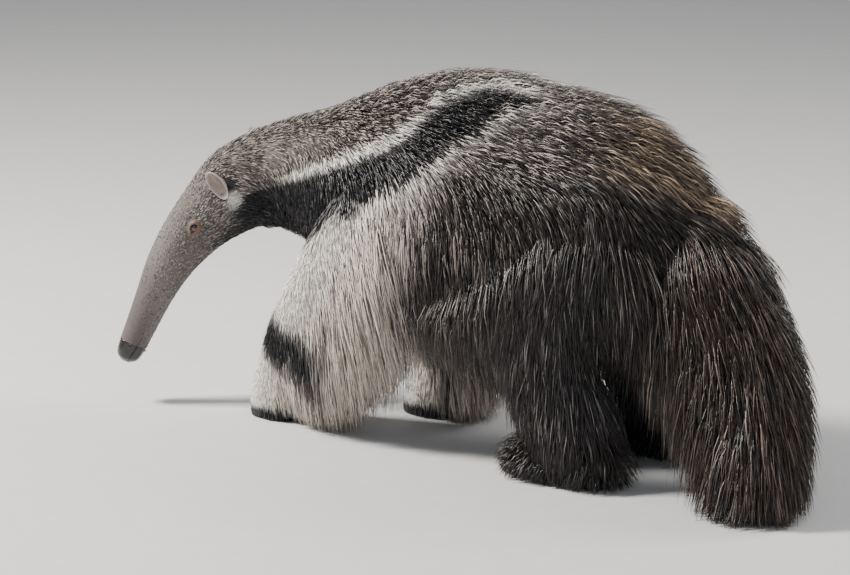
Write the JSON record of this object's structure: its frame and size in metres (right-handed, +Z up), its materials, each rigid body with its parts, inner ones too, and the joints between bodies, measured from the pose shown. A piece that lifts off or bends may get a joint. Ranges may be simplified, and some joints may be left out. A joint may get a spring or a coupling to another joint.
{
  "type": "giant anteater model",
  "caption": "Life-size giant anteater standing in mid stride, long snout lowered, coarse coat in locks, maned back and a long-haired tail hanging to the floor.",
  "frame": {"origin": "bottom centre of the bounding box, on the floor under the four soles", "axes": "the animal faces -X along its length, its left side is -Y, +Z is up"},
  "size_m": [1.3806, 0.4202, 0.6319],
  "materials": {
    "head_fur": "short grey-brown fur, matt",
    "body_fur": "coarse dark grey-brown hair with pale glints, a black band edged in white",
    "foreleg_fur": "cream-white coarse hair with a black wrist band",
    "hindleg_fur": "long black-brown hair",
    "tail_fur": "very long dark brown hair",
    "ear_skin": "bare pinkish grey skin with a pale haired rim",
    "nose_skin": "moist black skin",
    "eye": "glossy dark brown",
    "claw_horn": "horn, satin"
  },
  "bodies": {
    "root": {"head": "head_fur", "neck": "body_fur", "torso": "body_fur", "tail_base": "tail_fur", "tail_end": "tail_fur", "foreleg_left": "foreleg_fur", "foreleg_right": "foreleg_fur", "hindleg_left": "hindleg_fur", "hindleg_right": "hindleg_fur", "ear_left": "ear_skin", "ear_right": "ear_skin", "nose": "nose_skin", "eye_left": "eye", "eye_right": "eye", "claw_fore_left_1": "claw_horn", "claw_fore_left_2": "claw_horn", "claw_fore_left_3": "claw_horn", "claw_fore_right_1": "claw_horn", "claw_fore_right_2": "claw_horn", "claw_fore_right_3": "claw_horn", "claw_hind_left_1": "claw_horn", "claw_hind_left_2": "claw_horn", "claw_hind_left_3": "claw_horn", "claw_hind_left_4": "claw_horn", "claw_hind_left_5": "claw_horn", "claw_hind_right_1": "claw_horn", "claw_hind_right_2": "claw_horn", "claw_hind_right_3": "claw_horn", "claw_hind_right_4": "claw_horn", "claw_hind_right_5": "claw_horn"}
  },
  "joints": []
}
